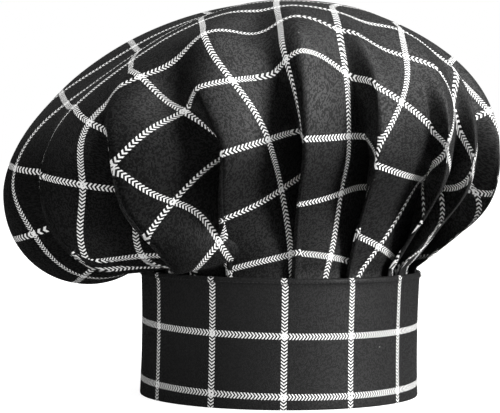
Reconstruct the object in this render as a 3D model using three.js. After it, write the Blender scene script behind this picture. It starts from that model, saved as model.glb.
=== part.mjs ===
// A chef hat: a round cloth pleated into an upright band, with the crown flopping to the left.
// Millimetres, +Z up, the front of the hat towards -Y.
// Azimuths are degrees round the band, 0 at the front and positive towards +X.

import * as THREE from 'three';
import { mergeVertices } from 'three/addons/utils/BufferGeometryUtils.js';

// band: a doubled stiff strip, slightly oval as a head is
const bandHalfLength = 99.3;
const bandHalfWidth = 92.3;
const bandTurn = 47;             // degrees from +X to the long axis
const bandHeight = 85;
const bandWall = 2.4;
const bandWaist = 0.9;           // how far the sides draw in between rim and hem
const hemHeight = 3.8;           // turned and stitched top edge
const hemProud = 0.8;

// crown: the envelope that the opened cloth fills
const clothWall = 1.2;
const crownReach = 160;          // from the band's axis to a plain side
const crownRise = 185;           // from the band's rim to the top
const clothRadius = 332;         // of the flat round of cloth
const topLeft = 4;               // how far the top lies to the left of the axis
const topBack = 26;              // and behind it

// seam: the pleated edge stands inside the band and turns out over its rim
const seamGap = 0.3;
const tuckDepth = 9;
const tuckRoom = 1.4;            // straight wall beside the tucked cloth, as a share of its depth
const rimLift = 3.2;

// pleats
const pleatDepth = 18;
const seamDepth = 4.4;           // depth of the pressed pleats inside the band
const valleyShare = 0.62;        // share of a pleat's cloth from its ridge to its valley
const ridgeRound = 1.3;          // how flat the panels are beside the ridges: 1 is a plain wave
const flatShare = 0.6;           // how straight a panel runs from its ridge to its valley
const pressedWay = 0.03;         // share of the way up to which the pleats stay fully pressed
const spreadWay = 0.33;          // share of the way up at which the ridges have fanned out
const leanWay = 0.27;            // and from which, to twice this, a leaning ridge goes over to its side
const deepenWay = 0.28;          // and over which the pressed pleats grow to their full depth
const climb = 0.93;              // below 1 the cloth lies closer together near the top
const dentDepth = 7;

// The crown's section in one direction. reach is a share of crownReach and waist, the height of the
// widest place over the rim, a share of crownRise. leave is the angle at which the cloth leaves the
// rim, belly how full the part under the widest place is, and shoulder the exponent of the rounded
// upper part: 2 is an ellipse, more is squarer.
const sections = [
  { azimuth: -180, reach: 1.00, waist: 0.36, leave: 42, belly: 1.0, shoulder: 2.05 },
  { azimuth: -150, reach: 1.02, waist: 0.33, leave: 28, belly: 1.1, shoulder: 1.90 },
  { azimuth: -120, reach: 1.12, waist: 0.30, leave: -24, belly: 1.2, shoulder: 1.80 },
  { azimuth: -90, reach: 1.185, waist: 0.27, leave: -46, belly: 1.28, shoulder: 1.79 },
  { azimuth: -60, reach: 1.17, waist: 0.31, leave: -30, belly: 1.2, shoulder: 1.64 },
  { azimuth: -30, reach: 0.98, waist: 0.46, leave: 46, belly: 1.0, shoulder: 2.00 },
  { azimuth: 0, reach: 0.89, waist: 0.56, leave: 72, belly: 1.0, shoulder: 2.35 },
  { azimuth: 30, reach: 0.88, waist: 0.56, leave: 70, belly: 1.0, shoulder: 2.45 },
  { azimuth: 60, reach: 0.92, waist: 0.48, leave: 50, belly: 1.0, shoulder: 2.20 },
  { azimuth: 90, reach: 0.94, waist: 0.42, leave: 36, belly: 1.0, shoulder: 2.00 },
  { azimuth: 120, reach: 0.98, waist: 0.40, leave: 36, belly: 1.0, shoulder: 2.00 },
  { azimuth: 150, reach: 1.00, waist: 0.37, leave: 42, belly: 1.0, shoulder: 2.10 },
];

// a section's lower curve leaves the rim and meets the widest place with handles of these shares
const rimHandle = 0.48;
const waistHandle = 0.42;

// The pleats, each with its ridge on the left and its valley under the next one. seam and open are
// the ridge's azimuths at the band and where the pleat has opened, depth is a share of pleatDepth,
// opened and faded are the shares of the way up at which overlap and depth are gone, and lean is how
// many degrees the ridge goes over to its side further up.
const pleats = [
  { seam: -78, open: -80, depth: 0.90, opened: 0.50, faded: 0.62, lean: 0 },
  { seam: -52, open: -57, depth: 1.00, opened: 0.52, faded: 0.60, lean: 0 },
  { seam: -38, open: -40, depth: 1.15, opened: 0.50, faded: 0.60, lean: -5 },
  { seam: -22, open: -15, depth: 1.25, opened: 0.56, faded: 0.75, lean: -11 },
  { seam: 4, open: 5, depth: 1.15, opened: 0.56, faded: 0.72, lean: 0 },
  { seam: 28, open: 25, depth: 1.10, opened: 0.54, faded: 0.56, lean: 0 },
  { seam: 52, open: 47, depth: 0.95, opened: 0.52, faded: 0.60, lean: 0 },
  { seam: 60, open: 58, depth: 1.15, opened: 0.50, faded: 0.72, lean: 0 },
  { seam: 82, open: 77, depth: 1.05, opened: 0.50, faded: 0.65, lean: 0 },
  { seam: 103, open: 96, depth: 1.00, opened: 0.48, faded: 0.65, lean: 0 },
  { seam: 123, open: 117, depth: 0.95, opened: 0.52, faded: 0.60, lean: 0 },
  { seam: 144, open: 139, depth: 1.05, opened: 0.50, faded: 0.70, lean: 0 },
  { seam: 165, open: 161, depth: 0.95, opened: 0.46, faded: 0.60, lean: 0 },
  { seam: 187, open: 184, depth: 1.05, opened: 0.50, faded: 0.68, lean: 0 },
  { seam: 209, open: 206, depth: 0.95, opened: 0.52, faded: 0.62, lean: 0 },
  { seam: 231, open: 229, depth: 1.05, opened: 0.48, faded: 0.66, lean: 0 },
  { seam: 257, open: 254, depth: 0.95, opened: 0.50, faded: 0.60, lean: 0 },
];

// Soft dents above the pleats. way is the share of the way from the seam to the top, wide and long
// are half-sizes in degrees and in that share, and depth is a share of dentDepth: less than 0 is a puff.
const dents = [
  { azimuth: -31, way: 0.46, wide: 7, long: 0.07, depth: 1.2 },
  { azimuth: -12, way: 0.64, wide: 9, long: 0.08, depth: 1.0 },
  { azimuth: -24, way: 0.57, wide: 8, long: 0.06, depth: -0.5 },
  { azimuth: 33, way: 0.55, wide: 8, long: 0.11, depth: 0.8 },
  { azimuth: 64, way: 0.62, wide: 11, long: 0.10, depth: 0.5 },
  { azimuth: 118, way: 0.60, wide: 14, long: 0.10, depth: 0.7 },
  { azimuth: 168, way: 0.66, wide: 13, long: 0.10, depth: 0.8 },
  { azimuth: 214, way: 0.58, wide: 12, long: 0.10, depth: 0.7 },
  { azimuth: -70, way: 0.60, wide: 13, long: 0.10, depth: 0.6 },
];

// Corners of pleats that hang out over the rim: which ridge, where, and the mm out and down. wide is
// the half-size in pleats and long that in shares of the way.
const corners = [
  { pleat: 2, way: 0.075, wide: 0.45, long: 0.05, out: 10, drop: 7.5 },
];

// The band's sides: waist is a share of bandWaist, height one of the side below the hem
const bandSides = [
  { height: 0.20, waist: 0.70 },
  { height: 0.47, waist: 1.00 },
  { height: 0.74, waist: 0.70 },
];

// How fine the faceted solids are
const bandSegments = 96;
const columnShares = [0, 0.1, 0.22, 0.35, 0.49, 0.62, 0.72, 0.81, 0.91];
const rowShares = [0, 0.0225, 0.048, 0.075, 0.11, 0.16, 0.215, 0.28, 0.36, 0.455, 0.555, 0.67, 0.80, 0.915];
const curveSteps = 24;
const normalTurn = 2;            // degrees and share of the way over which the envelope's slope is read
const normalWay = 0.012;
const mergeDistance = 1e-4;

const degrees = Math.PI / 180;
const up = new THREE.Vector3(0, 0, 1);

function smooth(share) {
  const t = THREE.MathUtils.clamp(share, 0, 1);
  return t * t * (3 - 2 * t);
}

function direction(azimuth) {
  return new THREE.Vector3(Math.sin(azimuth * degrees), -Math.cos(azimuth * degrees), 0);
}

const meanRadius = (bandHalfLength + bandHalfWidth) / 2;

// the band's half-size in one direction, drawn in or out by an offset of its mean radius
function bandRadius(azimuth, offset = 0) {
  const way = direction(azimuth).applyAxisAngle(up, -bandTurn * degrees);
  return (1 + offset / meanRadius) / Math.hypot(way.x / bandHalfLength, way.y / bandHalfWidth);
}

// a column of the sections table as a smooth closed curve through its rows
function sectionValue(azimuth, name) {
  const count = sections.length;
  const place = ((azimuth - sections[0].azimuth) / 360) * count;
  const first = Math.floor(place);
  const t = place - first;
  const [a, b, c, d] = [-1, 0, 1, 2].map((step) => sections[(first + step + 2 * count) % count][name]);
  const slope = c - a;
  const bend = 2 * a - 5 * b + 4 * c - d;
  const twist = 3 * b - a - 3 * c + d;
  return b + (slope * t + bend * t ** 2 + twist * t ** 3) / 2;
}

// The envelope in one direction, from the edge inside the band over the rim and up to the top
function meridian(azimuth) {
  const outward = direction(azimuth);
  const reach = crownReach * sectionValue(azimuth, 'reach');
  const waist = bandHeight + crownRise * sectionValue(azimuth, 'waist');
  const leave = sectionValue(azimuth, 'leave') * degrees;
  const shoulder = 2 / sectionValue(azimuth, 'shoulder');
  const inside = bandRadius(azimuth, -bandWall - seamGap);
  const overRim = bandRadius(azimuth, hemProud) - inside;
  const rim = bandHeight + rimLift + overRim * Math.tan(Math.max(-leave, 0));
  const chord = Math.hypot(reach - inside, waist - rim);
  const rimPull = rimHandle * chord;
  const waistPull = waistHandle * sectionValue(azimuth, 'belly') * chord;
  const lower = new THREE.CubicBezierCurve(
    new THREE.Vector2(inside, rim),
    new THREE.Vector2(inside + rimPull * Math.cos(leave), rim + rimPull * Math.sin(leave)),
    new THREE.Vector2(reach, waist - waistPull),
    new THREE.Vector2(reach, waist),
  );
  const points = [outward.clone().multiplyScalar(inside).setZ(bandHeight - tuckDepth)];
  for (const point of lower.getPoints(curveSteps)) {
    points.push(outward.clone().multiplyScalar(point.x).setZ(point.y));
  }
  const top = new THREE.Vector3(-topLeft, topBack, 0);
  const side = outward.clone().multiplyScalar(reach);
  for (let step = 1; step <= curveSteps; step += 1) {
    const turn = (step / curveSteps) * (Math.PI / 2);
    const inward = Math.max(Math.cos(turn), 0) ** shoulder;
    const height = waist + (bandHeight + crownRise - waist) * Math.sin(turn) ** shoulder;
    points.push(top.clone().lerp(side, inward).setZ(height));
  }
  return points;
}

// the point of a polyline at a share of its length
function pointAlong(points, share) {
  const lengths = [0];
  for (let index = 1; index < points.length; index += 1) {
    lengths.push(lengths[index - 1] + points[index].distanceTo(points[index - 1]));
  }
  const wanted = THREE.MathUtils.clamp(share, 0, 1) * lengths[lengths.length - 1];
  const index = Math.max(lengths.findIndex((length) => length >= wanted), 1);
  const part = (wanted - lengths[index - 1]) / (lengths[index] - lengths[index - 1]);
  return points[index - 1].clone().lerp(points[index], part);
}

function envelope(azimuth, way) {
  return pointAlong(meridian(azimuth), way);
}

function envelopeNormal(azimuth, way) {
  const right = envelope(azimuth + normalTurn, way);
  const left = envelope(azimuth - normalTurn, way);
  const above = envelope(azimuth, Math.min(way + normalWay, 1));
  const below = envelope(azimuth, Math.max(way - normalWay, 0));
  return right.sub(left).cross(above.sub(below)).normalize();
}

// The outer face of the cloth: share runs across one pleat from its ridge to the next, way from
// the edge inside the band, 0, to the top, 1.
function crownPoint(index, share, way) {
  const pleat = pleats[index];
  const next = pleats[(index + 1) % pleats.length];
  const turn = index + 1 === pleats.length ? 360 : 0;
  const opened = smooth((way - pressedWay) / (pleat.opened - pressedWay));
  const faded = smooth(way / pleat.faded);
  const valleyAt = THREE.MathUtils.lerp(1, valleyShare, opened);
  const down = share / valleyShare;
  const back = (share - valleyShare) / (1 - valleyShare);
  const across = share < valleyShare ? valleyAt * down : valleyAt + (1 - valleyAt) * back;
  const panel = THREE.MathUtils.lerp(Math.cos(Math.PI * down ** ridgeRound), 1 - 2 * down, flatShare);
  const height = share < valleyShare ? panel : 2 * back - 1;
  const spread = smooth(way / spreadWay);
  const lean = smooth(way / leanWay - 1);
  const left = THREE.MathUtils.lerp(pleat.seam, pleat.open, spread) + lean * pleat.lean;
  const right = THREE.MathUtils.lerp(next.seam, next.open, spread) + turn + lean * next.lean;
  const azimuth = THREE.MathUtils.lerp(left, right, across);
  const seamWay = (tuckDepth + rimLift) / clothRadius;
  const risen = smooth((way - seamWay) / deepenWay);
  const amplitude = THREE.MathUtils.lerp(seamDepth, pleatDepth * pleat.depth, risen) * (1 - faded);
  let sunk = (1 - height) * amplitude;
  for (const dent of dents) {
    const aside = (((azimuth - dent.azimuth) % 360) + 540) % 360 - 180;
    const distance = Math.hypot(aside / dent.wide, (way - dent.way) / dent.long);
    sunk += dent.depth * dentDepth * Math.exp(-distance * distance);
  }
  const climbed = way ** climb;
  const outward = envelopeNormal(azimuth, climbed);
  const point = envelope(azimuth, climbed).addScaledVector(outward, -sunk);
  outward.setZ(0).normalize();
  for (const corner of corners) {
    const half = pleats.length / 2;
    const aside = ((index + share - corner.pleat + half + pleats.length) % pleats.length) - half;
    const distance = Math.hypot(aside / corner.wide, (way - corner.way) / corner.long);
    const near = Math.exp(-distance * distance) * smooth(way / seamWay - 0.5);
    point.addScaledVector(outward, near * corner.out).addScaledVector(up, -near * corner.drop);
  }
  return point;
}

// The crown: one cloth wall, open at the bottom, from a grid of rows and pleat columns
function crownGeometry() {
  const columns = pleats.flatMap((pleat, index) => columnShares.map((share) => ({ index, share })));
  const outer = rowShares.map((way) => columns.map(({ index, share }) => crownPoint(index, share, way)));
  const top = envelope(0, 1);
  const count = columns.length;
  const normals = outer.map((row, r) => row.map((point, c) => {
    const above = outer[r + 1] ? outer[r + 1][c] : top;
    const below = outer[Math.max(r - 1, 0)][c];
    const sideways = row[(c + 1) % count].clone().sub(row[(c + count - 1) % count]);
    return sideways.cross(above.clone().sub(below)).normalize();
  }));
  const inner = outer.map((row, r) => row.map((point, c) => {
    const sides = normals[r][(c + 1) % count].clone().add(normals[r][(c + count - 1) % count]);
    const outward = sides.addScaledVector(normals[r][c], 2).normalize();
    return point.clone().addScaledVector(outward, -clothWall);
  }));
  const rows = [...inner].reverse().concat(outer);
  const positions = [];
  for (let r = 0; r + 1 < rows.length; r += 1) {
    for (let c = 0; c < count; c += 1) {
      const n = (c + 1) % count;
      positions.push(rows[r][c], rows[r][n], rows[r + 1][n]);
      positions.push(rows[r][c], rows[r + 1][n], rows[r + 1][c]);
    }
  }
  const innerTop = top.clone().addScaledVector(up, -clothWall);
  for (let c = 0; c < count; c += 1) {
    const n = (c + 1) % count;
    positions.push(rows[0][n], rows[0][c], innerTop);
    positions.push(rows[rows.length - 1][c], rows[rows.length - 1][n], top);
  }
  const geometry = new THREE.BufferGeometry().setFromPoints(positions);
  const merged = mergeVertices(geometry, mergeDistance);
  merged.computeVertexNormals();
  return merged;
}

// The band: a closed profile turned round the axis and drawn out to the oval
function bandGeometry() {
  const hemFoot = bandHeight - hemHeight;
  const tuckFoot = bandHeight - tuckRoom * tuckDepth;
  const fold = hemProud / 2;
  const outside = bandSides.map(({ height, waist }) => [-bandWaist * waist, hemFoot * height]);
  const inside = bandSides.map(({ height, waist }) => [-bandWall - bandWaist * waist, tuckFoot * height]);
  const profile = [
    [-bandWall, 0],
    [0, 0],
    ...outside,
    [-fold, hemFoot - fold],
    [hemProud, hemFoot + fold],
    [hemProud, bandHeight - fold],
    [0, bandHeight],
    [-bandWall, bandHeight],
    [-bandWall, tuckFoot],
    ...inside.reverse(),
    [-bandWall, 0],
  ].map(([offset, height]) => new THREE.Vector2(meanRadius + offset, height));
  const lathe = new THREE.LatheGeometry(profile, bandSegments);
  lathe.rotateX(Math.PI / 2);
  lathe.scale(bandHalfLength / meanRadius, bandHalfWidth / meanRadius, 1);
  lathe.rotateZ(bandTurn * degrees);
  lathe.deleteAttribute('normal');
  lathe.deleteAttribute('uv');
  const merged = mergeVertices(lathe, mergeDistance);
  merged.computeVertexNormals();
  return merged;
}

const cloth = { color: 0x1c1c1e, roughness: 0.82, metalness: 0 };
const band = new THREE.Mesh(bandGeometry(), new THREE.MeshStandardMaterial(cloth));
band.name = 'band';
const crown = new THREE.Mesh(crownGeometry(), new THREE.MeshStandardMaterial(cloth));
crown.name = 'crown';

// the origin is the middle of the whole hat's footprint, on the surface that it stands on
const hat = new THREE.Group();
hat.add(band, crown);
const middle = new THREE.Box3().setFromObject(hat).getCenter(new THREE.Vector3());
band.position.set(-middle.x, -middle.y, 0);
crown.position.set(-middle.x, -middle.y, 0);

export default hat;
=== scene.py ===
# A chef hat in black twill with a white herringbone check. A round of cloth is pleated into an upright
# band and flops to one side. Cloth sizes below are millimetres round the band's axis, the scene is metres.
import bpy
import numpy as np
from mathutils import Matrix, Vector


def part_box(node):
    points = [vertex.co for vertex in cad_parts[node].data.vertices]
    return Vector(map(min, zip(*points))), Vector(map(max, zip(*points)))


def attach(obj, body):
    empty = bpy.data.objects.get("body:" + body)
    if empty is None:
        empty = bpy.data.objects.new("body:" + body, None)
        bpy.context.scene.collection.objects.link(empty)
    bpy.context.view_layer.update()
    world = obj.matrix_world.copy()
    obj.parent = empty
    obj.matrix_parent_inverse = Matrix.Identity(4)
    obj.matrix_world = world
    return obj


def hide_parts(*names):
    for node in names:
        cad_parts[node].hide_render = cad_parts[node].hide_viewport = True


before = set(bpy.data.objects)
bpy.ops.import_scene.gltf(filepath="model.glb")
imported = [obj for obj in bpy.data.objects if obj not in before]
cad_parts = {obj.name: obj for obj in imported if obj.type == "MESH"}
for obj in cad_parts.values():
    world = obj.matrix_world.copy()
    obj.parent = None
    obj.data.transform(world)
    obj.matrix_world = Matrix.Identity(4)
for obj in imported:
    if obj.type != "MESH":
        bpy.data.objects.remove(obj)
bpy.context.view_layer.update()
milli = 0.001
bandLow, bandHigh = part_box("band")
axisPlace = np.array([(bandLow.x + bandHigh.x) / 2, (bandLow.y + bandHigh.y) / 2, 0])
print("frame loaded, band axis at", np.round(axisPlace / milli, 1))


# helpers for shapes

def smooth(share):
    share = np.clip(share, 0, 1)
    return share * share * (3 - 2 * share)


def mix(a, b, share):
    return a + (b - a) * share


def bump(distance):
    return np.exp(-distance * distance)


def unit(vectors, least=1e-9):
    return vectors / np.maximum(np.linalg.norm(vectors, axis=-1, keepdims=True), least)


def columnOf(table, name):
    return np.array([row[name] for row in table], float)


def rowsOf(names, *rows):
    return [dict(zip(names.split(), row)) for row in rows]


# The camera: where the photograph was taken from, in mm round the band's axis, and its frame in px.
# axisPx and levelPx are where the level line from the camera over the axis meets the frame.
cameraValues = {
    "distance": 1400.0,
    "height": 173.0,
    "focalPx": 2037.0,
    "axisPx": 283.2,
    "levelPx": 141.2,
    "roll": 0.015,          # radians
    "frameWidth": 500.0,
    "frameHeight": 413.0,
    "sensor": 36.0,
}


# px across and down in the frame of points in mm round the axis
def photoPlace(points):
    away = points[..., 1] + cameraValues["distance"]
    right = cameraValues["focalPx"] * points[..., 0] / away
    down = -cameraValues["focalPx"] * (points[..., 2] - cameraValues["height"]) / away
    roll = cameraValues["roll"]
    across = cameraValues["axisPx"] + np.cos(roll) * right - np.sin(roll) * down
    return across, cameraValues["levelPx"] + np.sin(roll) * right + np.cos(roll) * down


# The check: a white herringbone stripe every so many mm, counted from the stripes that the photo shows.
# The crown's starts are mm of flat cloth from its middle, the band's are mm round it and up from its rim.
checkValues = {
    "acrossPitch": 47.5,
    "downPitch": 39.0,
    "stripeWidth": 4.1,
    "chevronPitch": 2.2,
    "chevronSlope": 0.8,
    "yarnShare": 0.46,      # of a chevron's pitch that is white yarn
    "yarnSoft": 0.05,       # share of the pitch over which its edge fades
    "skipEarly": 0.15,      # above 0, chevrons are left out a little before the cloth is halved
    "loopInner": 0.42,      # the ring where stripes cross, as shares of half a stripe
    "loopOuter": 0.8,
    "crownAcross": -95.0,
    "crownDown": -344.5,
    "bandAcross": 2.8,
    "bandDown": 8.6,
    "warpReach": 60.0,      # mm of cloth over which one crossing draws its neighbours
    "warpSlack": 0.2,
    "lookColumns": 44,
    "lookRows": 240,
    "nearPx": 1.6,          # a crossing is read from the points that show within so many px of it
    "mostPx": 8.0,          # and left out where none shows so near
    "frontDepth": 6.0,      # mm behind the foremost of them that still count
    "mostStray": 45.0,      # mm of cloth that it may be drawn along
    "riseLimits": (0.5, 2.2),
}

# The band: a doubled stiff strip with a turned and stitched top edge
bandValues = {
    "halfLength": 99.3,
    "halfWidth": 92.3,
    "turn": 47.0,           # degrees from +X to the long axis
    "height": 85.0,
    "wall": 2.4,
    "waist": 0.9,
    "waistRound": 0.8,
    "hem": 3.8,
    "hemProud": 0.8,
    "hemShift": 0.8,        # mm by which the stripes step where the edge is turned
    "edgeRound": 0.6,
    "tuckRoom": 1.4,        # straight wall beside the tucked cloth, as a share of its depth
    "sideRows": 30,
    "columns": 288,
    "clothRound": 602.0,    # mm round the strip
    "clothBow": 2.45,       # mm by which its stripes climb to the sides
    "clothSkew": 1.35,      # and more on the left
    "hemDrop": 4.0,         # mm of cloth used by the turn of the edge
}


def bandRadius(azimuth):
    angle = np.radians(azimuth)
    turn = np.radians(bandValues["turn"])
    x, y = np.sin(angle), -np.cos(angle)
    along = (np.cos(turn) * x + np.sin(turn) * y) / bandValues["halfLength"]
    aside = (np.cos(turn) * y - np.sin(turn) * x) / bandValues["halfWidth"]
    return 1 / np.hypot(along, aside)


# The crown: an envelope that the opened cloth fills, and the pleats drawn into it
crownValues = {
    "clothRadius": 332.2,   # flat radius of the round, with the edge inside the band
    "reach": 160.0,
    "rise": 185.0,
    "topLeft": 4.0,
    "topBack": 26.0,
    "tuck": 9.0,
    "lift": 3.2,
    "gap": 0.3,
    "rimHandle": 0.48,      # how far the lower curve's handles reach, as shares of its chord
    "waistHandle": 0.42,
    "climb": 0.93,          # below 1 the cloth lies closer together near the top
    "overlap": 0.5,         # how far a knife pleat laps over the next, in pleats
    "pressedWay": 0.06,     # share of the way up to which the pleats stay fully lapped
    "pleatDepth": 18.0,
    "seamDepth": 3.4,
    "valley": 0.62,
    "ridgeRound": 1.2,      # more leaves the ridges broad and the valleys steep
    "spreadWay": 0.33,
    "leanWay": 0.27,        # a ridge starts to lean over to its side here, and has at twice this way
    "deepenWay": 0.16,
    "dentDepth": 7.0,
    "cornerStart": 0.5,     # corners begin at this share of the way up to the seam
    "thickness": 0.9,
    "columns": 22,          # for each pleat
    "rows": 124,
}

# Its section in one direction: reach and waist are shares of reach and rise, leave is the angle at
# which the cloth leaves the rim, belly how full the lower part is, and shoulder the exponent of the
# upper part, 2 for an ellipse.
sections = rowsOf(
    "azimuth reach waist leave belly shoulder",
    (-180, 1.00, 0.36, 42, 1.0, 2.05),
    (-150, 1.02, 0.33, 28, 1.1, 1.9),
    (-120, 1.12, 0.30, -24, 1.2, 1.80),
    (-90, 1.185, 0.27, -46, 1.28, 1.79),
    (-60, 1.17, 0.31, -30, 1.2, 1.64),
    (-30, 0.98, 0.46, 46, 1.0, 2.0),
    (0, 0.89, 0.56, 72, 1.0, 2.35),
    (30, 0.88, 0.56, 70, 1.0, 2.45),
    (60, 0.92, 0.48, 50, 1.0, 2.2),
    (90, 0.94, 0.42, 36, 1.0, 2.0),
    (120, 0.98, 0.40, 36, 1.0, 2.0),
    (150, 1.00, 0.37, 42, 1.0, 2.1),
)

# Pleats with the ridge on the left: azimuths of the ridge at the band and where it has opened, its
# angle on the flat cloth, its depth, the shares of the way up at which overlap and depth are gone, how
# straight its panel runs from ridge to valley, and the degrees by which it leans over further up.
pleats = rowsOf(
    "seam cloth open depth opened faded flat lean",
    (-78, -84, -80, 0.90, 0.50, 0.62, 0.6, 0),
    (-52, -61, -57, 1.00, 0.52, 0.60, 0.6, 0),
    (-38, -36, -40, 1.15, 0.50, 0.60, 0.3, -5),
    (-22, -17.5, -15, 1.30, 0.56, 0.75, 0.6, -11),
    (4, 4, 5, 1.15, 0.56, 0.72, 0.6, 0),
    (28, 25, 25, 1.10, 0.54, 0.56, 0.6, 0),
    (52, 38, 47, 0.95, 0.52, 0.60, 0.6, 0),
    (60, 52, 58, 1.15, 0.50, 0.72, 0.6, 0),
    (82, 68, 77, 1.05, 0.50, 0.65, 0.6, 0),
    (103, 90, 96, 1.00, 0.48, 0.65, 0.6, 0),
    (123, 113, 117, 0.95, 0.52, 0.60, 0.6, 0),
    (144, 136, 139, 1.05, 0.50, 0.70, 0.6, 0),
    (165, 159, 161, 0.95, 0.46, 0.60, 0.6, 0),
    (187, 183, 184, 1.05, 0.50, 0.68, 0.6, 0),
    (209, 206, 206, 0.95, 0.52, 0.62, 0.6, 0),
    (231, 229, 229, 1.05, 0.48, 0.66, 0.6, 0),
    (257, 253, 254, 0.95, 0.50, 0.60, 0.6, 0),
)

# Soft dents above the pleats and puffs, where depth is below 0
dents = rowsOf(
    "azimuth way wide long depth",
    (-31, 0.46, 7, 0.07, 1.2),
    (-12, 0.64, 9, 0.08, 1.0),
    (-24, 0.57, 8, 0.06, -0.5),
    (33, 0.55, 8, 0.11, 0.8),
    (64, 0.62, 11, 0.10, 0.5),
    (118, 0.60, 14, 0.10, 0.7),
    (168, 0.66, 13, 0.10, 0.8),
    (214, 0.58, 12, 0.10, 0.7),
    (-70, 0.60, 13, 0.10, 0.6),
)

# Corners of pleats that hang out over the rim: which ridge, how far up it, and the mm out and down
corners = rowsOf(
    "pleat way wide long out drop",
    (2.05, 0.075, 0.35, 0.05, 10, 8),
    (2.45, 0.090, 0.35, 0.05, 9, 3),
)

# Where the photo shows the crown's stripes cross: which stripe across and which one down, counted from
# the starts above, and the px right of and below the frame's corner
crossings = rowsOf(
    "across down right below",
    (-4, 7, 78, 280), (-3, 7, 42, 231), (-2, 7, 5, 168),
    (-2, 6, 33, 172), (-1, 6, 55, 101), (0, 6, 128, 64), (1, 6, 203, 19), (2, 6, 273, 10),
    (3, 6, 338, 12), (4, 6, 385, 28), (6, 6, 478, 122), (7, 6, 480, 194),
    (-3, 5, 89, 254), (-2, 5, 85, 185), (-1, 5, 80, 117), (0, 5, 147, 77), (1, 5, 205, 35),
    (2, 5, 278, 19), (3, 5, 342, 29), (4, 5, 406, 57), (5, 5, 461, 105),
    (-3, 4, 140, 260), (-1, 4, 121, 164), (0, 4, 176, 110), (1, 4, 240, 83), (2, 4, 281, 62),
    (3, 4, 346, 73), (4, 4, 403, 103), (5, 4, 440, 147), (6, 4, 445, 197),
    (-1, 3, 170, 205), (1, 3, 268, 137), (3, 3, 348, 137), (4, 3, 378, 158),
    (-1, 2, 219, 241), (1, 2, 284, 198), (3, 2, 341, 198), (5, 2, 378, 249),
    (1, 1, 291, 250), (3, 1, 332, 255),
)


# a column of the pleats with the first row again at the end, a full turn on where it is an angle
def closedColumn(name, turn=360):
    return np.append(columnOf(pleats, name), pleats[0][name] + turn)


# a column of the sections table as a smooth closed curve through its rows
def sectionValue(azimuth, name):
    values = columnOf(sections, name)
    count = len(values)
    place = (np.asarray(azimuth) - sections[0]["azimuth"]) / 360 * count
    first = np.floor(place).astype(int)
    t = place - first
    a, b, c, d = (values[(first + step) % count] for step in (-1, 0, 1, 2))
    slope = c - a
    bend = 2 * a - 5 * b + 4 * c - d
    twist = 3 * b - a - 3 * c + d
    return b + (slope * t + bend * t ** 2 + twist * t ** 3) / 2


# The envelope as a table of points: azimuths round the axis by shares of the way from edge to top
def meridianTable(azimuths=720, steps=300, lowSteps=60, highSteps=100):
    azimuth = np.linspace(-180, 180, azimuths, endpoint=False)
    angle = np.radians(azimuth)
    outX, outY = np.sin(angle), -np.cos(angle)
    reach = crownValues["reach"] * sectionValue(azimuth, "reach")
    waist = bandValues["height"] + crownValues["rise"] * sectionValue(azimuth, "waist")
    leave = np.radians(sectionValue(azimuth, "leave"))
    shoulder = 2 / sectionValue(azimuth, "shoulder")[:, None]
    inside = bandRadius(azimuth) - bandValues["wall"] - crownValues["gap"]
    # the edge inside the band, then a curve with two handles out over the rim and up to the widest place
    overRim = bandValues["hemProud"] + bandValues["wall"] + crownValues["gap"]
    rim = bandValues["height"] + crownValues["lift"] + overRim * np.tan(np.maximum(-leave, 0))
    chord = np.hypot(reach - inside, waist - rim)
    rimPull = crownValues["rimHandle"] * chord
    waistPull = crownValues["waistHandle"] * sectionValue(azimuth, "belly") * chord
    v = np.linspace(0, 1, lowSteps)
    weights = [(1 - v) ** 3, 3 * v * (1 - v) ** 2, 3 * v * v * (1 - v), v ** 3]
    handlesR = [inside, inside + rimPull * np.cos(leave), reach, reach]
    handlesZ = [rim, rim + rimPull * np.sin(leave), waist - waistPull, waist]
    lowR = sum(h[:, None] * w for h, w in zip(handlesR, weights))
    lowZ = sum(h[:, None] * w for h, w in zip(handlesZ, weights))
    edgeZ = np.full((azimuths, 1), bandValues["height"] - crownValues["tuck"])
    lowR = np.concatenate([inside[:, None], lowR], 1)
    lowZ = np.concatenate([edgeZ, lowZ], 1)
    # from there a rounded shoulder up to the top
    turn = np.linspace(0, np.pi / 2, highSteps)[None, 1:]
    inward = np.maximum(np.cos(turn), 0) ** shoulder
    highX = mix(-crownValues["topLeft"], (reach * outX)[:, None], inward)
    highY = mix(crownValues["topBack"], (reach * outY)[:, None], inward)
    top = bandValues["height"] + crownValues["rise"]
    highZ = mix(waist[:, None], top, np.sin(turn) ** shoulder)
    x = np.concatenate([lowR * outX[:, None], highX], 1)
    y = np.concatenate([lowR * outY[:, None], highY], 1)
    z = np.concatenate([lowZ, highZ], 1)
    # all of it spaced out evenly along the cloth
    lengths = np.sqrt(np.diff(x, axis=1) ** 2 + np.diff(y, axis=1) ** 2 + np.diff(z, axis=1) ** 2)
    run = np.concatenate([np.zeros((azimuths, 1)), np.cumsum(lengths, 1)], 1)
    shares = np.linspace(0, 1, steps + 1)
    made = [[np.interp(shares, r / r[-1], c[i]) for c in (x, y, z)] for i, r in enumerate(run)]
    return np.transpose(np.array(made), (0, 2, 1))


envelopeTable = meridianTable()


def envelope(azimuth, way):
    count, steps = envelopeTable.shape[0], envelopeTable.shape[1] - 1
    place = (np.asarray(azimuth) + 180) / 360 * count
    first = np.floor(place).astype(int)
    across = (place - first)[..., None]
    height = np.clip(way, 0, 1) * steps
    below = np.minimum(np.floor(height).astype(int), steps - 1)
    up = (height - below)[..., None]
    left, right = first % count, (first + 1) % count
    low = mix(envelopeTable[left, below], envelopeTable[right, below], across)
    high = mix(envelopeTable[left, below + 1], envelopeTable[right, below + 1], across)
    return mix(low, high, up)


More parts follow.
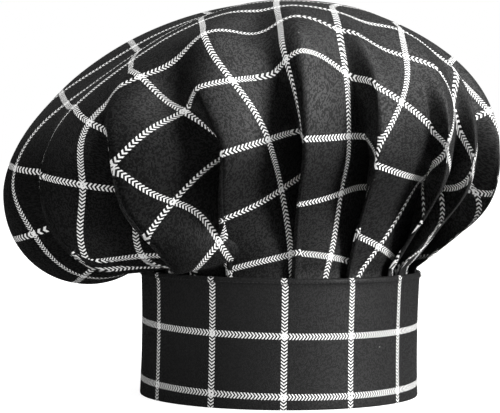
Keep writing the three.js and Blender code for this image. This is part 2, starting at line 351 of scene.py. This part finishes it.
# Outward direction, read over a few degrees and a small share of the way, never at the very top
def envelopeNormal(azimuth, way, turn=2.0, step=0.012, highest=0.985):
    way = np.clip(way, 0, highest)
    side = envelope(azimuth + turn, way) - envelope(azimuth - turn, way)
    rise = envelope(azimuth, np.minimum(way + step, 1)) - envelope(azimuth, np.maximum(way - step, 0))
    return unit(np.cross(side, rise))


# where a point of the flat round lies on the hat, by its cloth angle and its distance from the middle
def crownPoint(clothAngle, distance):
    v = crownValues
    count = len(pleats)
    seam, cloth, spreadTo = (closedColumn(name) for name in ("seam", "cloth", "open"))
    leanTo = closedColumn("lean", 0)
    angle = (clothAngle - cloth[0]) % 360 + cloth[0]
    index = np.clip(np.searchsorted(cloth, angle, side="right") - 1, 0, count - 1)
    share = (angle - cloth[index]) / (cloth[index + 1] - cloth[index])
    way = np.clip(1 - distance / v["clothRadius"], 0, 1)
    # how far this pleat has opened and its depth has faded
    pressed = v["pressedWay"]
    opened = smooth((way - pressed) / (columnOf(pleats, "opened")[index] - pressed))
    faded = smooth(way / columnOf(pleats, "faded")[index])
    # from its ridge the cloth runs under the next pleat, down to a valley and back out to the next ridge
    valley = v["valley"]
    lap = mix(1 + v["overlap"], valley, opened)
    down = np.clip(share / valley, 0, 1)
    back = np.clip((share - valley) / (1 - valley), 0, 1)
    across = np.where(share < valley, lap * down, mix(lap, 1, back))
    flat = columnOf(pleats, "flat")[index]
    panel = mix(np.cos(np.pi * down ** v["ridgeRound"]), 1 - 2 * down, flat)
    height = np.where(share < valley, panel, -np.cos(np.pi * back))
    # the ridges spread out from the seam and lean over further up
    spread = smooth(way / v["spreadWay"])
    lean = smooth(way / v["leanWay"] - 1)
    ridges = [mix(seam[i], spreadTo[i], spread) + lean * leanTo[i] for i in (index, index + 1)]
    azimuth = mix(*ridges, across)
    # how far below the envelope, for the pleat and the dents
    seamWay = (v["tuck"] + v["lift"]) / v["clothRadius"]
    risen = smooth((way - seamWay) / v["deepenWay"])
    depth = mix(v["seamDepth"], v["pleatDepth"] * columnOf(pleats, "depth")[index], risen)
    sunk = (1 - height) * depth * (1 - faded)
    for dent in dents:
        aside = ((azimuth - dent["azimuth"] + 180) % 360 - 180) / dent["wide"]
        near = bump(np.hypot(aside, (way - dent["way"]) / dent["long"]))
        sunk = sunk + dent["depth"] * v["dentDepth"] * near
    climbed = way ** v["climb"]
    normal = envelopeNormal(azimuth, climbed)
    points = envelope(azimuth, climbed) - normal * sunk[..., None]
    # the corners swing outward and down
    for corner in corners:
        aside = (index + share - corner["pleat"] + count / 2) % count - count / 2
        near = bump(np.hypot(aside / corner["wide"], (way - corner["way"]) / corner["long"]))
        near = (near * smooth(way / seamWay - v["cornerStart"]))[..., None]
        outward = unit(normal * [1, 1, 0])
        points = points + near * (outward * corner["out"] - np.array([0, 0, corner["drop"]]))
    return points


# all the cloth's columns by its rows, as cloth angles and distances, so many columns to a pleat
def clothGrid(columns, rows, nearest=1.5):
    share = np.linspace(0, 1, columns, endpoint=False)
    cloth = closedColumn("cloth")
    angles = np.concatenate([mix(a, b, share) for a, b in zip(cloth[:-1], cloth[1:])])
    return np.meshgrid(angles, np.linspace(crownValues["clothRadius"], nearest, rows))


def flatPlace(clothAngle, distance):
    return distance * np.sin(np.radians(clothAngle)), -distance * np.cos(np.radians(clothAngle))


# Places of the flat cloth and the mm by which each is drawn along, so that the stripes cross where the
# photo shows them. Each crossing is looked up among the foremost points that show near it.
def clothWarp():
    angle, distance = clothGrid(checkValues["lookColumns"], checkValues["lookRows"])
    points = crownPoint(angle, distance)
    across, down = flatPlace(angle, distance)
    right, below = photoPlace(points)
    found, wanted = [], []
    for row in crossings:
        want = np.array([checkValues["crownAcross"] + row["across"] * checkValues["acrossPitch"],
                         checkValues["crownDown"] + row["down"] * checkValues["downPitch"]])
        apart = np.hypot(right - row["right"], below - row["below"])
        strayed = np.hypot(across - want[0], down - want[1])
        score = apart + np.where(strayed < checkValues["mostStray"], 0, cameraValues["frameWidth"])
        near = score < score.min() + checkValues["nearPx"]
        near &= points[..., 1] < points[..., 1][near].min() + checkValues["frontDepth"]
        weight = bump(apart / checkValues["nearPx"]) * near
        if score.min() < checkValues["mostPx"]:
            found.append([np.average(across, weights=weight), np.average(down, weights=weight)])
            wanted.append(want)
    found, wanted = np.array(found), np.array(wanted)
    apart = np.hypot(*(found[:, None] - found).transpose(2, 0, 1))
    pull = bump(apart / checkValues["warpReach"]) + checkValues["warpSlack"] * np.eye(len(found))
    return found, np.linalg.solve(pull, wanted - found)


def warpedCloth(warp, across, down):
    flat = np.stack([across, down], -1)
    for (a, d), step in zip(*warp):
        flat = flat + bump(np.hypot(across - a, down - d) / checkValues["warpReach"])[..., None] * step
    return flat


# meshes

def newObject(name, mesh):
    made = bpy.data.objects.new(name, mesh)
    bpy.context.scene.collection.objects.link(made)
    return made


# By how much the cloth's two coordinates rise for each mm on the surface, for rows round a closed ring.
# The stripes keep their true width by it where the cloth was drawn.
def clothRise(points, flat, least=1e-6):
    around = [(np.roll(a, -1, 1) - np.roll(a, 1, 1)) / 2 for a in (points, flat)]
    along = [np.gradient(a, axis=0) for a in (points, flat)]
    aa, ab, bb = (np.sum(a * b, -1) for a, b in
                  ((around[0], around[0]), (around[0], along[0]), (along[0], along[0])))
    spread = np.maximum(aa * bb - ab ** 2, least)[..., None]
    square = bb[..., None] * around[1] ** 2 - 2 * ab[..., None] * around[1] * along[1]
    return np.sqrt(np.maximum(square + aa[..., None] * along[1] ** 2, 0) / spread)


# a mesh from rows of points in mm round the axis, its faces and each corner's flat cloth in mm
def clothMesh(name, points, faces, cornerCloth, rise=None):
    mesh = bpy.data.meshes.new(name)
    mesh.from_pydata((points.reshape(-1, 3) * milli + axisPlace).tolist(), [], faces)
    layer = mesh.uv_layers.new(name="cloth")
    layer.data.foreach_set("uv", (cornerCloth * milli).astype(np.float32).ravel())
    values = np.ones((len(mesh.vertices), 3), np.float32)
    if rise is not None:
        values[:rise.shape[0], :2] = np.clip(rise, *checkValues["riseLimits"])
    mesh.attributes.new("rise", "FLOAT_VECTOR", "POINT").data.foreach_set("vector", values.ravel())
    mesh.polygons.foreach_set("use_smooth", np.ones(len(mesh.polygons), bool))
    mesh.update()
    return newObject(name, mesh)


def makeCrown():
    angle, distance = clothGrid(crownValues["columns"], crownValues["rows"])
    points = crownPoint(angle, distance)
    rows, columns = angle.shape
    flat = warpedCloth(clothWarp(), *flatPlace(angle, distance))
    rise = clothRise(points, flat).reshape(-1, 2)
    flat = flat.reshape(-1, 2)
    index = np.arange(rows * columns).reshape(rows, columns)
    after = np.roll(index, -1, 1)
    faces = np.stack([index[:-1], after[:-1], after[1:], index[1:]], -1).reshape(-1, 4).tolist()
    middle = crownPoint(np.zeros(1), np.zeros(1))
    flat = np.vstack([flat, flat[index[-1]].mean(0)])
    faces += [[int(a), int(b), rows * columns] for a, b in zip(index[-1], after[-1])]
    corners = np.array([corner for face in faces for corner in face])
    crown = clothMesh("crown_cloth", np.vstack([points.reshape(-1, 3), middle]), faces, flat[corners], rise)
    wall = crown.modifiers.new("wall", "SOLIDIFY")
    wall.thickness = crownValues["thickness"] * milli
    wall.offset = -1
    return crown


# The turned edge at its foot and at the rim: shares of how proud it stands, and how high in edge rounds
hemSteps = ((0.2, -1 / 3), (0.8, 0.5), (1, 2))
rimSteps = ((1, -1.5), (0.5, -0.5), (0, 0))


# The band's section: offsets from its own radius and heights, up the outside and back down the inside
def bandProfile():
    v = bandValues
    height, wall, waist, proud = v["height"], v["wall"], v["waist"], v["hemProud"]
    hemFoot = height - v["hem"]
    tuckFoot = height - v["tuckRoom"] * crownValues["tuck"]
    ease = v["edgeRound"]
    outside = [(-waist * np.sin(np.pi * z / hemFoot) ** v["waistRound"], z)
               for z in np.linspace(2 * ease, hemFoot - ease, v["sideRows"])]
    inside = [(-wall - waist * np.sin(np.pi * z / tuckFoot), z)
              for z in np.linspace(tuckFoot - ease, 2 * ease, v["sideRows"] // 2)]
    hem = [(proud * out, hemFoot + ease * up) for out, up in hemSteps]
    rim = [(proud * out, height + ease * up) for out, up in rimSteps]
    back = [(ease - wall, height), (-wall, height - ease), (-wall, tuckFoot)]
    foot = [(-wall, ease), (ease / 2 - wall, 0), (-ease / 2, 0), (-ease / 5, ease)]
    return np.array(outside + hem + rim + back + inside + foot)


def bandPoints(azimuth, offset, height):
    mean = (bandValues["halfLength"] + bandValues["halfWidth"]) / 2
    radius = bandRadius(azimuth) * (1 + offset / mean)
    angle = np.radians(azimuth)
    level = np.broadcast_to(height, radius.shape)
    return np.stack([radius * np.sin(angle), -radius * np.cos(angle), level], -1)


# a closed ring of the section, whose cloth is joined at the back
def makeBand():
    azimuth = np.linspace(-180, 180, bandValues["columns"], endpoint=False)
    profile = bandProfile()
    points = bandPoints(azimuth[None], profile[:, :1], profile[:, 1:])
    rows, columns = points.shape[:2]
    index = np.arange(rows * columns).reshape(rows, columns)
    ring = np.vstack([index, index[:1]])
    after = np.roll(ring, -1, 1)
    faces = np.stack([ring[:-1], after[:-1], after[1:], ring[1:]], -1).reshape(-1, 4).tolist()
    azimuth = np.append(azimuth, 180)[None]
    hem = profile[:, 1:] > bandValues["height"] - bandValues["hem"]
    across = azimuth / 360 * bandValues["clothRound"] + hem * bandValues["hemShift"]
    turned = np.radians(azimuth)
    climb = bandValues["clothBow"] * (1 - np.cos(turned)) - bandValues["clothSkew"] * np.sin(turned)
    flat = np.stack([across, profile[:, 1:] - climb - hem * bandValues["hemDrop"]], -1)
    flat = np.vstack([flat, flat[:1]])
    corners = np.stack([flat[:-1, :-1], flat[:-1, 1:], flat[1:, 1:], flat[1:, :-1]], 2)
    return clothMesh("band_cloth", points, faces, corners.reshape(-1, 2))


crown = makeCrown()
band = makeBand()
print("cloth made,", len(crown.data.polygons), "and", len(band.data.polygons), "faces")


# stitches along the foot of the turned edge, laid by Geometry Nodes along a closed line

stitchValues = {
    "pitch": 2.6,
    "length": 1.9,
    "thread": 0.32,         # radius
    "aboveFoot": 0.9,
    "proudShare": 1 / 3,    # of the thread's radius, by which its middle stands off the cloth
    "segments": 6,
    "rings": 4,
    "lineSteps": 240,
    "seed": 4,
    "sway": 0.12,           # radians by which single stitches lean
    "twistScale": 2600.0,
    "roughness": 0.5,
    "specular": 0.3,
}


class NodeTree:
    # adds nodes to a tree, each fed by numbers or by other nodes' outputs

    def __init__(self, tree):
        self.tree = tree

    def feed(self, socket, value):
        if isinstance(value, bpy.types.NodeSocket):
            self.tree.links.new(value, socket)
        else:
            socket.default_value = value

    def feedAll(self, node, values):
        for name, value in values.items():
            self.feed(node.inputs[name], value)

    def add(self, kind, values=None, **settings):
        node = self.tree.nodes.new(kind)
        for name, value in settings.items():
            setattr(node, name, value)
        self.feedAll(node, values or {})
        return node

    def math(self, operation, *values):
        node = self.add("ShaderNodeMath", operation=operation)
        for socket, value in zip(node.inputs, values):
            self.feed(socket, value)
        return node.outputs[0]

    def plus(self, a, b):
        return self.math("ADD", a, b)

    def minus(self, a, b):
        return self.math("SUBTRACT", a, b)

    def times(self, a, b):
        return self.math("MULTIPLY", a, b)

    def over(self, a, b):
        return self.math("DIVIDE", a, b)

    def parts(self, vector):
        return self.add("ShaderNodeSeparateXYZ", {"Vector": vector}).outputs

    def vector(self, x, y, z):
        return self.add("ShaderNodeCombineXYZ", {"X": x, "Y": y, "Z": z}).outputs["Vector"]

    def noise(self, place, scale, detail=2.0):
        values = {"Vector": place, "Scale": scale, "Detail": detail}
        return self.add("ShaderNodeTexNoise", values).outputs[0]

    def smoothed(self, value, low, high):
        values = {"Value": value, "From Min": low, "From Max": high}
        return self.add("ShaderNodeMapRange", values, interpolation_type="SMOOTHSTEP").outputs[0]

    # a Mix node has sockets for each type of data: 6, 7 and output 2 are the colours
    def blend(self, share, low, high):
        return self.add("ShaderNodeMix", {0: share, 6: low, 7: high}, data_type="RGBA").outputs[2]


# the tree's inputs by name
def stitchInputs():
    v = stitchValues
    return {
        "Pitch": v["pitch"] * milli,
        "Stitch Length": v["length"] * milli,
        "Thread Radius": v["thread"] * milli,
        "Sway": v["sway"],
        "Seed": v["seed"],
    }


def stitchTree(material):
    v = stitchValues
    tree = bpy.data.node_groups.new("stitches along a line", "GeometryNodeTree")
    tree.interface.new_socket("Geometry", in_out="INPUT", socket_type="NodeSocketGeometry")
    for name, value in stitchInputs().items():
        kind = "NodeSocketInt" if name == "Seed" else "NodeSocketFloat"
        tree.interface.new_socket(name, in_out="INPUT", socket_type=kind).default_value = value
    tree.interface.new_socket("Geometry", in_out="OUTPUT", socket_type="NodeSocketGeometry")
    t = NodeTree(tree)
    given = t.add("NodeGroupInput").outputs
    line = t.add("GeometryNodeMeshToCurve", {"Mesh": given["Geometry"]}).outputs["Curve"]
    values = {"Curve": line, "Length": given["Pitch"]}
    spaced = t.add("GeometryNodeCurveToPoints", values, mode="LENGTH").outputs
    ball = t.add("GeometryNodeMeshUVSphere", {
        "Segments": v["segments"], "Rings": v["rings"], "Radius": given["Thread Radius"]})
    halfRatio = t.times(t.over(given["Stitch Length"], given["Thread Radius"]), 0.5)
    stitch = t.add("GeometryNodeTransform", {
        "Geometry": ball.outputs["Mesh"], "Scale": t.vector(1.0, 1.0, halfRatio)})
    lean = t.add("FunctionNodeRandomValue", {
        2: t.times(given["Sway"], -1.0), 3: given["Sway"], "Seed": given["Seed"]}, data_type="FLOAT")
    along = t.add("FunctionNodeAlignRotationToVector", {"Vector": spaced["Tangent"]}, axis="Z")
    turned = t.add("FunctionNodeRotateRotation", {
        "Rotation": along.outputs["Rotation"],
        "Rotate By": t.vector(lean.outputs[1], 0.0, 0.0)}, rotation_space="LOCAL")
    laid = t.add("GeometryNodeInstanceOnPoints", {
        "Points": spaced["Points"],
        "Instance": stitch.outputs["Geometry"],
        "Rotation": turned.outputs["Rotation"]})
    real = t.add("GeometryNodeRealizeInstances", {"Geometry": laid.outputs["Instances"]})
    painted = t.add("GeometryNodeSetMaterial", {"Geometry": real.outputs["Geometry"], "Material": material})
    t.add("NodeGroupOutput", {"Geometry": painted.outputs["Geometry"]})
    return tree


def makeStitches(material):
    v = stitchValues
    azimuth = np.linspace(-180, 180, v["lineSteps"], endpoint=False)
    offset = bandValues["hemProud"] + v["thread"] * v["proudShare"]
    height = bandValues["height"] - bandValues["hem"] + v["aboveFoot"]
    line = bandPoints(azimuth, offset, height) * milli + axisPlace
    mesh = bpy.data.meshes.new("band_stitches")
    count = len(azimuth)
    mesh.from_pydata(line.tolist(), [(i, (i + 1) % count) for i in range(count)], [])
    guide = newObject("stitch_line", mesh)
    modifier = guide.modifiers.new("stitches", "NODES")
    modifier.node_group = stitchTree(material)
    values = stitchInputs()
    for item in modifier.node_group.interface.items_tree:
        if item.in_out == "INPUT" and item.name in values:
            modifier[item.identifier] = values[item.name]
    evaluated = guide.evaluated_get(bpy.context.evaluated_depsgraph_get())
    made = bpy.data.meshes.new_from_object(evaluated)
    made.name = "band_stitches"
    bpy.data.objects.remove(guide)
    stitches = newObject("band_stitches", made)
    made.polygons.foreach_set("use_smooth", np.ones(len(made.polygons), bool))
    return stitches


# materials

def newMaterial(name):
    material = bpy.data.materials.new(name)
    material.use_nodes = True
    return material, NodeTree(material.node_tree), material.node_tree.nodes["Principled BSDF"]


# a shader node group with vectors in, numbers in with their first values, and numbers out
def newGroup(name, vectors, numbers, outputs):
    tree = bpy.data.node_groups.new(name, "ShaderNodeTree")
    for label in vectors:
        tree.interface.new_socket(label, in_out="INPUT", socket_type="NodeSocketVector")
    for label, value in numbers.items():
        socket = tree.interface.new_socket(label, in_out="INPUT", socket_type="NodeSocketFloat")
        socket.default_value = value
    for label in outputs:
        tree.interface.new_socket(label, in_out="OUTPUT", socket_type="NodeSocketFloat")
    t = NodeTree(tree)
    return tree, t, t.add("NodeGroupInput").outputs, t.add("NodeGroupOutput").inputs


# A mask of white yarn: stripes of chevrons both ways, nearly solid with a small loop where they cross
def herringboneCheck():
    v = checkValues
    tree, t, given, out = newGroup("herringbone check", ["Cloth", "Rise"], {
        "Across Pitch": v["acrossPitch"] * milli,
        "Down Pitch": v["downPitch"] * milli,
        "Across Start": 0.0,
        "Down Start": 0.0,
        "Stripe Width": v["stripeWidth"] * milli,
        "Chevron Pitch": v["chevronPitch"] * milli,
        "Chevron Slope": v["chevronSlope"],
        "Yarn Share": v["yarnShare"],
        "Point Up": 1.0,
        "Point Right": 1.0,
    }, ["White"])
    place = t.parts(given["Cloth"])
    rises = t.parts(given["Rise"])
    half = t.times(given["Stripe Width"], 0.5)
    edge = t.times(given["Yarn Share"], 0.5)

    # a chevron keeps its size where the cloth is drawn together, by leaving out every other one
    def stripe(place, start, pitch, along, pointing, rise, drawn):
        shifted = t.minus(place, start)
        nearest = t.times(t.math("ROUND", t.over(shifted, pitch)), pitch)
        aside = t.over(t.math("ABSOLUTE", t.minus(shifted, nearest)), rise)
        inside = t.math("LESS_THAN", aside, half)
        slanted = t.times(t.times(aside, given["Chevron Slope"]), drawn)
        climb = t.plus(t.times(along, pointing), slanted)
        folds = t.math("ROUND", t.plus(t.math("LOGARITHM", drawn, 2.0), v["skipEarly"]))
        doubled = t.math("POWER", 2.0, t.math("MAXIMUM", folds, 0.0))
        phase = t.math("FRACT", t.over(climb, t.times(given["Chevron Pitch"], doubled)))
        wave = t.math("ABSOLUTE", t.minus(phase, 0.5))
        yarn = t.smoothed(wave, t.plus(edge, v["yarnSoft"]), t.minus(edge, v["yarnSoft"]))
        return t.times(yarn, inside), inside, aside

    first, firstIn, firstAside = stripe(
        place[0], given["Across Start"], given["Across Pitch"],
        place[1], given["Point Up"], rises[0], rises[1])
    second, secondIn, secondAside = stripe(
        place[1], given["Down Start"], given["Down Pitch"],
        place[0], given["Point Right"], rises[1], rises[0])
    fromMiddle = t.math("MAXIMUM", firstAside, secondAside)
    outside = t.math("GREATER_THAN", fromMiddle, t.times(half, v["loopInner"]))
    within = t.math("LESS_THAN", fromMiddle, t.times(half, v["loopOuter"]))
    loop = t.times(t.times(outside, within), t.times(firstIn, secondIn))
    t.feed(out["White"], t.math("MAXIMUM", t.math("MAXIMUM", first, second), loop))
    return tree


# The twill group's inputs, in metres where they are lengths. Its floats are the short lengths of yarn
# that show, in slanting rows like the ribs.
twillValues = {
    "Rib Pitch": 0.0013,
    "Rib Across": 0.78,     # the ribs' direction, a cosine and a sine
    "Rib Down": 0.62,
    "Unevenness": 1.0,
    "Yarn Scale": 1700.0,
    "Yarn Low": 0.35,
    "Yarn High": 0.65,
    "Grain": 0.7,           # share of uneven yarn in the relief, the rest is ribs
    "Float Width": 0.0007,
    "Float Length": 0.0009,
    "Stagger": 0.4,         # how far each row is shifted from the last, in floats
}


# fine slanting ribs, uneven yarn and a random number for each float
def twill():
    tree, t, given, out = newGroup("twill", ["Cloth"], twillValues, ["Height", "Yarn", "Float"])
    place = t.parts(given["Cloth"])
    slant = t.minus(t.times(place[0], given["Rib Across"]), t.times(place[1], given["Rib Down"]))
    along = t.plus(t.times(place[0], given["Rib Down"]), t.times(place[1], given["Rib Across"]))
    row = t.math("FLOOR", t.over(slant, given["Float Width"]))
    count = t.plus(t.over(along, given["Float Length"]), t.times(row, given["Stagger"]))
    cell = t.vector(row, t.math("FLOOR", count), 0.0)
    t.feed(out["Float"], t.add("ShaderNodeTexWhiteNoise", {"Vector": cell}).outputs["Value"])
    uneven = t.noise(given["Cloth"], given["Yarn Scale"])
    wobble = t.times(t.minus(uneven, 0.5), given["Unevenness"])
    turns = t.plus(t.over(slant, given["Rib Pitch"]), wobble)
    rib = t.plus(t.times(t.math("SINE", t.times(turns, 2 * np.pi)), 0.5), 0.5)
    yarn = t.smoothed(uneven, given["Yarn Low"], given["Yarn High"])
    # sockets 2, 3 and output 0 of a Mix node are its numbers
    height = t.add("ShaderNodeMix", {0: given["Grain"], 2: rib, 3: yarn}, data_type="FLOAT")
    t.feed(out["Height"], height.outputs[0])
    t.feed(out["Yarn"], yarn)
    return tree


# the wear group's inputs
wearValues = {
    "Patch Scale": 14.0,
    "Lint Scale": 70.0,
    "Lint Size": 0.035,
    "Lint Rarity": 0.82,
}


# slow patches where the cloth is a little greyer or duller, and rare specks of lint
def wear():
    tree, t, given, out = newGroup("wear", ["Place"], wearValues, ["Patch", "Lint"])
    t.feed(out["Patch"], t.noise(given["Place"], given["Patch Scale"], detail=4.0))
    cells = t.add("ShaderNodeTexVoronoi", {"Vector": given["Place"], "Scale": given["Lint Scale"]}).outputs
    speck = t.math("LESS_THAN", cells["Distance"], given["Lint Size"])
    rare = t.math("GREATER_THAN", t.parts(cells["Color"])[0], given["Lint Rarity"])
    t.feed(out["Lint"], t.times(speck, rare))
    return tree


# What both cloths share, then each one's own: where its stripes start in mm, which way the chevrons point
# along the stripes that run up and across, its blacks, and how it shines
clothLooks = {
    "white": (0.86, 0.86, 0.85, 1),
    "lint": (0.2, 0.2, 0.2, 1),
    "thread": (0.03, 0.03, 0.031, 1),
    "sheen": 0.02,
    "sheenRoughness": 0.4,
    "glossyShare": 0.5,     # of the floats, which carry the gloss
    "relief": 0.5,          # strength of the weave's relief, and its depth in mm
    "reliefDepth": 0.5,
    "weaveRelief": 0.4,     # height of the black weave beside the white yarn
    "patchRoughness": 0.2,  # between the dullest and the shiniest patch
    "slantRoughness": 0.4,  # added where the cloth is seen nearly edge on
    "slantPower": 2.0,
}
crownLooks = {
    "start": (checkValues["crownAcross"], checkValues["crownDown"]),
    "pointing": (1, -1),
    "black": (0.0025, 0.0025, 0.0026, 1),
    "worn": (0.022, 0.022, 0.0223, 1),
    "specular": 0.33,
    "gloss": 0.7,
    "roughness": 0.6,
}
bandLooks = {
    "start": (checkValues["bandAcross"], checkValues["bandDown"]),
    "pointing": (-1, 1),
    "black": (0.013, 0.013, 0.0132, 1),
    "worn": (0.030, 0.030, 0.0304, 1),
    "specular": 0.12,
    "gloss": 0.26,
    "roughness": 0.48,
}
checkGroup = herringboneCheck()
twillGroup = twill()
wearGroup = wear()


def clothMaterial(name, own):
    v = clothLooks
    material, t, shader = newMaterial(name)
    cloth = t.add("ShaderNodeUVMap", uv_map="cloth").outputs["UV"]
    place = t.add("ShaderNodeTexCoord").outputs["Object"]
    rise = t.add("ShaderNodeAttribute", attribute_name="rise").outputs["Vector"]
    white = t.add("ShaderNodeGroup", {
        "Cloth": cloth,
        "Rise": rise,
        "Across Start": own["start"][0] * milli,
        "Down Start": own["start"][1] * milli,
        "Point Up": own["pointing"][0],
        "Point Right": own["pointing"][1],
    }, node_tree=checkGroup).outputs["White"]
    weave = t.add("ShaderNodeGroup", {"Cloth": cloth, **twillValues}, node_tree=twillGroup).outputs
    worn = t.add("ShaderNodeGroup", {"Place": place, **wearValues}, node_tree=wearGroup).outputs
    fleck = t.times(weave["Float"], weave["Yarn"])
    black = t.blend(t.times(fleck, worn["Patch"]), own["black"], own["worn"])
    dusted = t.blend(worn["Lint"], black, v["lint"])
    height = t.plus(t.times(t.plus(weave["Height"], fleck), v["weaveRelief"]), white)
    relief = t.add("ShaderNodeBump", {
        "Strength": v["relief"], "Distance": v["reliefDepth"] * milli, "Height": height})
    dull = t.plus(t.times(worn["Patch"], v["patchRoughness"]), own["roughness"] - v["patchRoughness"] / 2)
    facing = t.add("ShaderNodeLayerWeight").outputs["Facing"]
    slanted = t.times(t.math("POWER", facing, v["slantPower"]), v["slantRoughness"])
    glossy = t.math("GREATER_THAN", weave["Float"], 1 - v["glossyShare"])
    t.feedAll(shader, {
        "Base Color": t.blend(white, dusted, v["white"]),
        "Normal": relief.outputs["Normal"],
        "Roughness": t.plus(dull, slanted),
        "Coat Weight": t.times(glossy, own["gloss"]),
        "Coat Roughness": own["roughness"],
        "Sheen Weight": v["sheen"],
        "Sheen Roughness": v["sheenRoughness"],
        "Specular IOR Level": own["specular"],
    })
    return material


# sewing thread: a dark yarn with a fine twist
def threadMaterial():
    v = stitchValues
    material, t, shader = newMaterial("black thread")
    twist = t.noise(t.add("ShaderNodeTexCoord").outputs["Object"], v["twistScale"])
    t.feedAll(shader, {
        "Base Color": t.blend(twist, crownLooks["worn"], clothLooks["thread"]),
        "Roughness": v["roughness"],
        "Specular IOR Level": v["specular"],
    })
    return material


stitches = makeStitches(threadMaterial())
crown.data.materials.append(clothMaterial("crown cloth", crownLooks))
band.data.materials.append(clothMaterial("band cloth", bandLooks))
print("stitched,", len(stitches.data.polygons), "faces, materials made")


# the room: a pale floor, soft lights and the camera

roomValues = {
    "white": (1, 1, 1, 1),
    "floor": (0.6, 0.6, 0.6, 1),
    "floorMirrored": (0.02, 0.02, 0.02, 1),
    "floorRoughness": 0.9,
    "floorSpecular": 0.1,
    "floorGlow": 0.8,       # added to the floor where the camera sees it
    "floorReach": (9, -6, 12),      # metres to each side, to the front and to the back
    "worldSeen": 1.0,       # the world's strength for the camera, for diffuse light and in reflections
    "worldLight": 0.85,
    "worldMirrored": 0.0,
    "keyPlace": (2.25, -1.15, 0.75),
    "keySize": 1.2,
    "keyPower": 78,
    "fillPlace": (1.2, -0.2, 2.9),
    "fillSize": 1.2,
    "fillPower": 85,
    "aim": (0, 0, 0.15),
}


# a floor that is lit and glows a little for the camera, and stays dark in the cloth's reflections
def floorMaterial():
    v = roomValues
    material, t, shader = newMaterial("pale floor")
    path = t.add("ShaderNodeLightPath").outputs
    t.feedAll(shader, {
        "Base Color": t.blend(path["Is Glossy Ray"], v["floor"], v["floorMirrored"]),
        "Roughness": v["floorRoughness"],
        "Specular IOR Level": v["floorSpecular"],
        "Emission Color": v["white"],
        "Emission Strength": t.times(path["Is Camera Ray"], v["floorGlow"]),
    })
    return material


def makeStage():
    v = roomValues
    side, front, back = v["floorReach"]
    mesh = bpy.data.meshes.new("floor")
    corners = [(-side, front, 0), (side, front, 0), (side, back, 0), (-side, back, 0)]
    mesh.from_pydata(corners, [], [(0, 1, 2, 3)])
    mesh.materials.append(floorMaterial())
    newObject("floor", mesh)
    world = bpy.data.worlds.new("studio")
    world.use_nodes = True
    t = NodeTree(world.node_tree)
    path = t.add("ShaderNodeLightPath").outputs
    strength = v["worldLight"]
    for ray, wanted in (("Is Camera Ray", v["worldSeen"]), ("Is Glossy Ray", v["worldMirrored"])):
        strength = t.plus(strength, t.times(path[ray], wanted - v["worldLight"]))
    t.feedAll(world.node_tree.nodes["Background"], {"Color": v["white"], "Strength": strength})
    bpy.context.scene.world = world


def areaLight(name):
    light = bpy.data.lights.new(name, "AREA")
    light.shape = "DISK"
    light.size = roomValues[name + "Size"]
    light.energy = roomValues[name + "Power"]
    lamp = newObject(name, light)
    lamp.location = roomValues[name + "Place"]
    aim = Vector(roomValues["aim"]) - lamp.location
    lamp.rotation_euler = aim.to_track_quat("-Z", "Y").to_euler()


def makeCamera():
    v = cameraValues
    lens = bpy.data.cameras.new("camera")
    camera = newObject("camera", lens)
    bpy.context.scene.camera = camera
    lens.sensor_width = v["sensor"]
    lens.lens = v["sensor"] * v["focalPx"] / v["frameWidth"]
    across, below = v["frameWidth"] / 2 - v["axisPx"], v["frameHeight"] / 2 - v["levelPx"]
    cosine, sine = np.cos(v["roll"]), np.sin(v["roll"])
    forward = np.array([cosine * across + sine * below, v["focalPx"], sine * across - cosine * below])
    forward /= np.linalg.norm(forward)
    side = np.cross(forward, [-sine, 0, cosine])
    side /= np.linalg.norm(side)
    turn = Matrix(np.stack([side, np.cross(side, forward), -forward], 1).tolist()).to_4x4()
    place = np.array([0, -v["distance"], v["height"]]) * milli + axisPlace
    camera.matrix_world = Matrix.Translation(place.tolist()) @ turn


makeStage()
areaLight("key")
areaLight("fill")
makeCamera()
bpy.context.scene.view_settings.view_transform = "Standard"
print("room made")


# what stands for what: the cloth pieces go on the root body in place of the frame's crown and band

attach(crown, "root")
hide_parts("crown")
for piece in (band, stitches):
    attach(piece, "root")
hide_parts("band")
